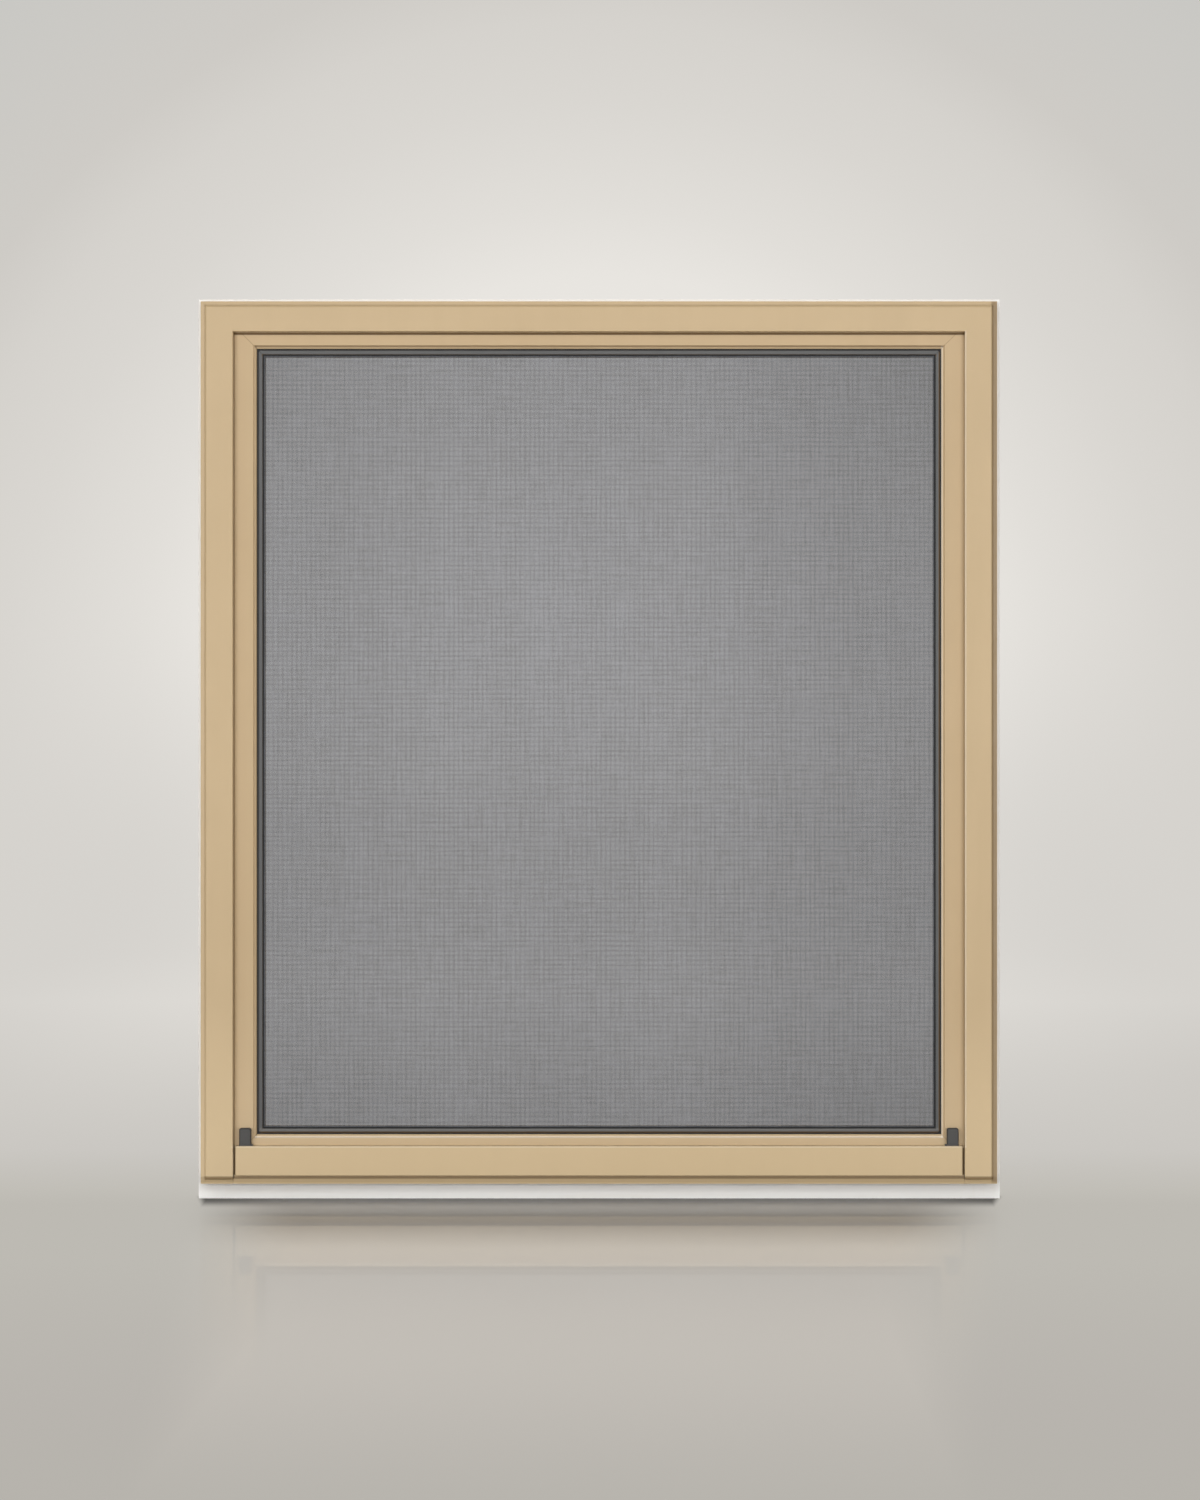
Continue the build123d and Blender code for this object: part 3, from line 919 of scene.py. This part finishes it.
@dataclass
class Cladding:
    """Tan outer frame with its rounded border, and the rail that covers the sill.

    Attributes:
        tan: Colour of the coating.
        shade: Its cloudy colour.
        low_light: Its paler colour near the floor, painted light.
        slope: Width of the painted shade line on the border's slope.
        foot: Width of the painted shade line in the crease at the foot of the slope.
        gap: Width of the painted shade line in the gap at each end of the cover rail.
        corner: Width of the painted highlight line round the opening.
    """

    tan: Colour = srgb(201, 177, 139)
    shade: Colour = srgb(196, 172, 134)
    low_light: Colour = srgb(223, 199, 158)
    slope: float = 0.006
    foot: float = 0.0026
    gap: float = 0.0019
    corner: float = 0.0012

    @staticmethod
    def outline() -> Rim:
        """Outer edge of the frame."""
        return Rim.of("cladding_head", "cladding_left_jamb", "cladding_right_jamb")

    @staticmethod
    def opening() -> Rim:
        """Inner edge of the frame, down to the cover rail."""
        jamb_low, head_low = (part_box(name)[0] for name in ("cladding_right_jamb", "cladding_head"))
        return Rim(jamb_low.x, Rim.of("sill_cover_rail").high, head_low.z)

    def dress(self, parts: PackedParts) -> None:
        """Coats the frame and the cover rail.

        Args:
            parts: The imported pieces.
        """
        slope = self.outline().inset(side=0.00275, bottom=0.0040, top=0.0027)
        foot = self.outline().inset(side=0.0055, bottom=0.0063, top=0.0043)
        gap = Rim.of("sill_cover_rail").inset(side=-0.0012, bottom=0.0017, top=0.0017)
        corner = self.opening().inset(side=-0.0007, bottom=-0.0010, top=0)
        # Painted shade on the border, in its crease and in the cover rail's end gaps, and a painted highlight
        # round the opening.
        edgings = (
            Edging(slope, self.slope, left=-0.08, right=-0.6, bottom=-0.34),
            Edging(foot, self.foot, top=-0.2, bottom=-0.55),
            Edging(gap, self.gap, left=-0.9, right=-0.9),
            Edging(corner, self.corner, right=0.3, bottom=0.25),
        )
        coat = PowderCoat("tan_coat_cladding", self.tan, self.shade, edgings=edgings, low_light=self.low_light)
        parts.dress(coat, "cladding_", "sill_cover")


@dataclass
class Sash:
    """Tan fixed sash with its stepped inner edge, its glazing beads and its corner keys.

    Attributes:
        tan: Colour of the coating, a little darker than the cladding's as painted shade of its recess.
        shade: Its cloudy colour.
        low_light: Its paler colour near the floor, painted light.
        crease: Width of the painted shade line in the crease where the sash meets the outer frame.
        step: Width of the line along the step beside the screen: painted shade on the left and top, painted
            highlight on the right and bottom.
    """

    tan: Colour = srgb(197, 172, 134)
    shade: Colour = srgb(192, 167, 129)
    low_light: Colour = srgb(213, 189, 152)
    crease: float = 0.0024
    step: float = 0.0018

    def dress(self, parts: PackedParts) -> None:
        """Coats the rails, stiles and beads, and finishes the keys.

        Args:
            parts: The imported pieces.
        """
        outline = Rim.of("sash_top_rail", "sash_bottom_rail", "sash_left_stile", "sash_right_stile")
        opening = Cladding.opening()
        crease = Rim(opening.half, outline.low, opening.high).inset(side=0.0001, bottom=0, top=0.0015)
        step = Rim.of("screen_seal").inset(side=-0.0006, bottom=-0.0026, top=-0.0021)
        # Painted shade in the crease under the outer frame, and painted shade and painted highlight along the
        # step.
        edgings = (
            Edging(crease, self.crease, left=-0.6, top=-0.95, right=-0.2),
            Edging(step, self.step, left=-0.35, top=-0.6, right=0.35, bottom=0.45),
        )
        coat = PowderCoat(
            "tan_coat_sash", self.tan, self.shade, seams=mitres(outline), edgings=edgings, low_light=self.low_light
        )
        parts.dress(coat, "sash_top", "sash_bottom", "sash_left", "sash_right", "glazing_bead")
        parts.dress(BareMetal("mill_aluminium", srgb(205, 206, 208), srgb(176, 177, 179), 0.3), "sash_corner")


@dataclass
class Screen:
    """Charcoal screen frame with its seal, spline and cloth.

    Attributes:
        charcoal: Colour of the bars.
        shade: Its cloudy colour.
        groove: Width of the painted shade line of the groove.
        border: Width of the painted shade line along the outer edge.
        ridge: Width of the painted highlight on the ridge between them.
    """

    charcoal: Colour = srgb(84, 85, 86)
    shade: Colour = srgb(76, 77, 79)
    groove: float = 0.0024
    border: float = 0.0014
    ridge: float = 0.0030

    def dress(self, parts: PackedParts) -> None:
        """Coats the bars, finishes the rubber and weaves the cloth.

        Args:
            parts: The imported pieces.
        """
        outline = Rim.of("screen_top_bar", "screen_bottom_bar", "screen_left_bar", "screen_right_bar")
        groove = outline.inset(side=0.0052, bottom=0.0052, top=0.0051)
        border = outline.inset(side=0.0005, bottom=0.0005, top=0.0005)
        ridge = outline.inset(side=0.0036, bottom=0.0034, top=0.0033)
        # Painted shade along the groove and the outer edge, and a painted highlight on the bottom ridge.
        edgings = (
            Edging(groove, self.groove, left=-0.75, top=-0.75),
            Edging(border, self.border, right=-0.8, bottom=-0.8),
            Edging(ridge, self.ridge, bottom=0.07),
        )
        coat = PowderCoat(
            "charcoal_coat", self.charcoal, self.shade, roughness=0.38, seams=mitres(outline), edgings=edgings
        )
        parts.dress(coat, "screen_top", "screen_bottom", "screen_left", "screen_right")
        new_rubber = Moulded("new_rubber", srgb(17, 17, 18), srgb(28, 28, 29), 0.6, 0.00003)
        parts.dress(new_rubber, "screen_seal", "screen_spline")
        cloth = ScreenCloth().build(CoatedYarn("coated_yarn", srgb(50, 53, 60), srgb(87, 91, 100)))
        LOG.info("%s stands for insect_mesh, %d faces", cloth.name, len(cloth.data.polygons))


@dataclass
class Glazing:
    """The pane with the rubber round it, and the weatherstrips.

    Attributes:
        tint: Colour of the light that passes through the pane.
    """

    tint: Colour = (0.725, 0.735, 0.765, 1.0)

    def dress(self, parts: PackedParts) -> None:
        """Finishes the glass and the rubber.

        Args:
            parts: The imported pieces.
        """
        rubber = Moulded("black_rubber", srgb(38, 38, 39), srgb(52, 52, 52), 0.55, 0.00004)
        parts.dress(rubber, "exterior", "interior", "front_weather", "rear_weather", "glass_setting")
        parts.dress(FloatGlass("float_glass", self.tint), "storm_glass")


@dataclass
class Mouldings:
    """The plastic pieces: corner stops, packers and the keys of the screen.

    Attributes:
        grey: Colour of the corner stops.
        blue: Colour of the packers and keys.
    """

    grey: Colour = srgb(63, 62, 61)
    blue: Colour = srgb(60, 86, 120)

    def dress(self, parts: PackedParts) -> None:
        """Finishes the plastic.

        Args:
            parts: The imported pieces.
        """
        stops = Moulded("grey_plastic", self.grey, srgb(73, 72, 71), 0.4, 0.00003)
        parts.dress(stops, "left_corner", "right_corner")
        packers = Moulded("packer_plastic", self.blue, srgb(78, 98, 124), 0.42, 0.00003)
        parts.dress(packers, "sash_packers", "screen_corner")


# Studio


@dataclass(frozen=True)
class Lamp:
    """One soft white lamp of the studio, unseen by the camera.

    Attributes:
        name: Its name.
        place: Where it stands.
        target: What it points at.
        size: Width of its square face.
        power: Its power in watts.
        mirrored: Whether shiny surfaces show its face.
    """

    name: str
    place: tuple[float, float, float]
    target: tuple[float, float, float]
    size: float
    power: float
    mirrored: bool = True

    def hang(self) -> None:
        """Adds the lamp to the scene."""
        data = bpy.data.lights.new(self.name, "AREA")
        data.energy = self.power
        data.size = self.size
        lamp = bpy.data.objects.new(self.name, data)
        lamp.location = self.place
        aim = Vector(self.target) - Vector(self.place)
        lamp.rotation_euler = aim.to_track_quat("-Z", "Y").to_euler()
        lamp.visible_camera = False
        lamp.visible_glossy = self.mirrored
        bpy.context.scene.collection.objects.link(lamp)


@dataclass
class Studio:
    """Pale floor that curves up into a round backdrop, with its lamps, world and camera.

    Attributes:
        floor_radius: Where the floor starts to curve up.
        wall_radius: Where the wall stands.
        wall_height: Top of the wall.
        camera_distance: From the camera to the foremost face of the window.
        camera_side: How far the camera stands to the right of the window's middle.
        view_height: Height of the view at the foremost face.
        view_middle: Middle of the view there, across.
        eye: Height of the camera.
        curve_steps: Steps of the curve between floor and wall.
        glow: X and Z of the middle of the glow on the wall.
        glow_reach: Distance over which the glow fades out.
        stand_half: Half of the width of the window's footprint.
        stand_depth: Distance of the footprint's front and back from the middle.
        polish: Share of mirror image in the floor beside the window.
    """

    floor_radius: float = 5.5
    wall_radius: float = 8.0
    wall_height: float = 3.4
    camera_distance: float = 4.5
    camera_side: float = 0.08
    view_height: float = 1.5
    view_middle: float = 0.00115
    eye: float = 0.4505
    curve_steps: int = 24
    glow: tuple[float, float] = (-0.14, 0.76)
    glow_reach: float = 2.787
    stand_half: float = 0.396
    stand_depth: float = 0.041
    polish: float = 0.24

    def backdrop(self) -> bpy.types.Object:
        """Spins the floor, its curve and the wall round the window.

        Returns:
            The backdrop.
        """
        Workbench.clear()
        bpy.ops.mesh.primitive_plane_add(size=1)
        piece = bpy.context.object
        piece.name = "studio_backdrop"
        curve = self.wall_radius - self.floor_radius
        bpy.ops.object.mode_set(mode="EDIT")
        bpy.ops.mesh.select_all(action="SELECT")
        bpy.ops.mesh.merge(type="CENTER")
        steps = [(self.floor_radius, 0.0)]
        for i in range(1, self.curve_steps + 1):
            angle = math.pi / 2 * i / self.curve_steps
            steps.append((self.floor_radius + curve * math.sin(angle), curve * (1 - math.cos(angle))))
        steps.append((self.wall_radius, self.wall_height))
        reached = (0.0, 0.0)
        for radius, height in steps:
            bpy.ops.mesh.extrude_region_move(
                TRANSFORM_OT_translate={"value": (radius - reached[0], 0, height - reached[1])}
            )
            reached = (radius, height)
        bpy.ops.mesh.select_all(action="SELECT")
        bpy.ops.mesh.spin(steps=96, angle=2 * math.pi, center=(0, 0, 0), axis=(0, 0, 1))
        bpy.ops.mesh.select_all(action="SELECT")
        bpy.ops.mesh.remove_doubles(threshold=0.0001)
        bpy.ops.mesh.normals_make_consistent(inside=True)
        bpy.ops.object.mode_set(mode="OBJECT")
        bpy.ops.object.shade_smooth_by_angle(angle=math.radians(40))
        piece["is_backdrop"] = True
        return piece

    def _wall(self, graph: Graph) -> Wire:
        """Colour of the wall, a pale glow that fades outwards and on the side away from the window.

        Args:
            graph: Graph that it is for.

        Returns:
            The colour.
        """
        x, y, z = graph.axes()
        aside, above = x - self.glow[0], z - self.glow[1]
        distance = (aside * aside + above * above) ** 0.5
        stops = [
            (0.0, srgb(240, 237, 233)),
            (0.36, srgb(232, 229, 224)),
            (0.43, srgb(225, 222, 217)),
            (0.54, srgb(217, 214, 209)),
            (0.62, srgb(213, 210, 205)),
            (0.69, srgb(206, 203, 198)),
            (0.86, srgb(201, 200, 196)),
        ]
        share = (distance / self.glow_reach).larger(y.fade(3.0, 0.0))
        return graph.node("ShaderNodeValToRGB", {"stops": stops}, {"Fac": share})

    def _ground(self, graph: Graph) -> Wire:
        """Colour of the floor, paler towards the wall and darker far to the sides.

        Args:
            graph: Graph that it is for.

        Returns:
            The colour.
        """
        x, y, _ = graph.axes()
        stops = [
            (0.0, srgb(182, 179, 172)),
            (0.10, srgb(184, 180, 174)),
            (0.26, srgb(189, 186, 179)),
            (0.35, srgb(189, 186, 179)),
            (0.376, srgb(193, 190, 183)),
            (0.46, srgb(202, 199, 194)),
            (0.76, srgb(214, 211, 206)),
            (1.0, srgb(222, 219, 214)),
        ]
        ground = graph.node("ShaderNodeValToRGB", {"stops": stops}, {"Fac": (y + 2.0) / 5.5})
        aside = abs(x + 0.1).fade(0.5, 1.2) * y.fade(0.2, 1.8)
        return graph.blend(aside * 0.09, ground, BLACK)

    def _contact_shadow(self, graph: Graph) -> Wire:
        """The painted contact shadow round the window's foot.

        Args:
            graph: Graph that it is for.

        Returns:
            How much it darkens the floor.
        """
        x, y, _ = graph.axes()
        # Distances past the ends count 8 times, so the painted shadow is narrow there and wide along the
        # faces.
        past_end = (abs(x) - self.stand_half + (abs(y) - 0.019) * 0.15) * 8
        past_face = abs(y) - self.stand_depth
        return past_end.larger(past_face).fade(0.075, -0.005) * 0.8

    def paint(self, backdrop: bpy.types.Object) -> None:
        """Paints the backdrop: plain and polished near the window, where it keeps shadows, and even beyond.

        Args:
            backdrop: The floor and wall.
        """
        material = bpy.data.materials.new("pale_backdrop")
        graph = Graph(material)
        x, y, z = graph.axes()
        # Painted contact shadow, laid on both the glowing and the lit floor.
        contact_shadow = self._contact_shadow(graph)
        ground = graph.blend(contact_shadow, self._ground(graph), BLACK)
        shown = graph.blend(z.fade(0.0, 0.9), ground, self._wall(graph))
        glowing = graph.node("ShaderNodeEmission", values={"Color": shown, "Strength": 1.0})

        clay = graph.blend(graph.noise(3, 2) * 0.12, srgb(215, 210, 203), srgb(209, 204, 197))
        matt = graph.node("ShaderNodeBsdfDiffuse", values={"Color": graph.blend(contact_shadow, clay, BLACK)})
        mirror = graph.node("ShaderNodeBsdfGlossy", values={"Roughness": 0.014})
        reach = (x * x + y * y) ** 0.5
        polished = self.polish * reach.fade(1.5, 0.3)
        lit = graph.node("ShaderNodeMixShader", values={0: polished, 1: matt, 2: mirror})

        rays = graph.node("ShaderNodeLightPath").socket.node.outputs
        kinds = [Wire(graph, rays[f"Is {kind} Ray"]) for kind in ("Camera", "Glossy", "Transmission")]
        seen = kinds[0].larger(kinds[1]).larger(kinds[2])
        # The even glow is full beside, behind and far from the window, and a trace of it is left near.
        beside = (abs(x) - y * 0.09).fade(0.30, 0.43)
        behind = y.fade(0.05, 0.35)
        even = reach.fade(0.7, 2.0).larger(beside).larger(behind) * 0.93 + 0.07
        graph.output(graph.node("ShaderNodeMixShader", values={0: even * seen, 1: lit, 2: glowing}))
        backdrop.data.materials.append(material)

    def light(self) -> None:
        """Hangs the lamps and sets the world's even glow."""
        Lamp("key_lamp", (-3.4, -4.6, 3.6), (0, 0, 0.5), 1.4, 40).hang()
        Lamp("left_lamp", (-2.2, -5.2, 0.65), (0, 0, 0.4), 1.3, 63).hang()
        Lamp("right_lamp", (2.2, -5.2, 0.65), (0, 0, 0.4), 1.3, 72).hang()
        Lamp("front_lamp", (0.0, -5.2, 2.4), (0, 0, 0.3), 1.2, 50).hang()
        Lamp("top_lamp", (0.0, 2.1, 7.0), (0, 2.1, 0.0), 1.6, 280, mirrored=False).hang()
        world = bpy.data.worlds.new("even_glow")
        bpy.context.scene.world = world
        graph = Graph(world)
        camera = graph.node("ShaderNodeLightPath", output="Is Camera Ray")
        background = graph.node(
            "ShaderNodeBackground",
            values={"Color": srgb(224, 222, 218), "Strength": 0.25 + camera * 0.6},
        )
        graph.output(background, "ShaderNodeOutputWorld")

    def camera(self, front: float) -> None:
        """Sets the camera up where the photograph was taken from.

        Args:
            front: Y of the window's foremost face.
        """
        data = bpy.data.cameras.new("camera")
        data.sensor_fit = "VERTICAL"
        data.sensor_height = 36.0
        data.sensor_width = 36.0
        data.lens = data.sensor_height * self.camera_distance / self.view_height
        data.shift_x = (self.view_middle - self.camera_side) / self.view_height
        eye = bpy.data.objects.new("camera", data)
        eye.location = (self.camera_side, front - self.camera_distance, self.eye)
        eye.rotation_euler = (math.pi / 2, 0, 0)
        bpy.context.scene.collection.objects.link(eye)
        bpy.context.scene.camera = eye

    def build(self, front: float) -> None:
        """Makes the whole studio.

        Args:
            front: Y of the window's foremost face.
        """
        self.paint(self.backdrop())
        self.light()
        self.camera(front)


def main() -> None:
    """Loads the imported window, sets up the studio, and finishes the sub-assemblies in order."""
    logging.basicConfig(level=logging.INFO, format="%(message)s")
    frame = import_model()
    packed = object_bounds()
    bpy.context.scene.view_settings.view_transform = "Standard"
    Studio().build(packed[0].y)
    LOG.info("studio is up")

    parts = PackedParts(frame["nodes"])
    assemblies: tuple[Assembly, ...] = (BaseFrame(), Cladding(), Sash(), Glazing(), Mouldings(), Screen())
    for assembly in assemblies:
        assembly.dress(parts)
        LOG.info("%s is done", type(assembly).__name__)


if __name__ == "__main__":
    main()
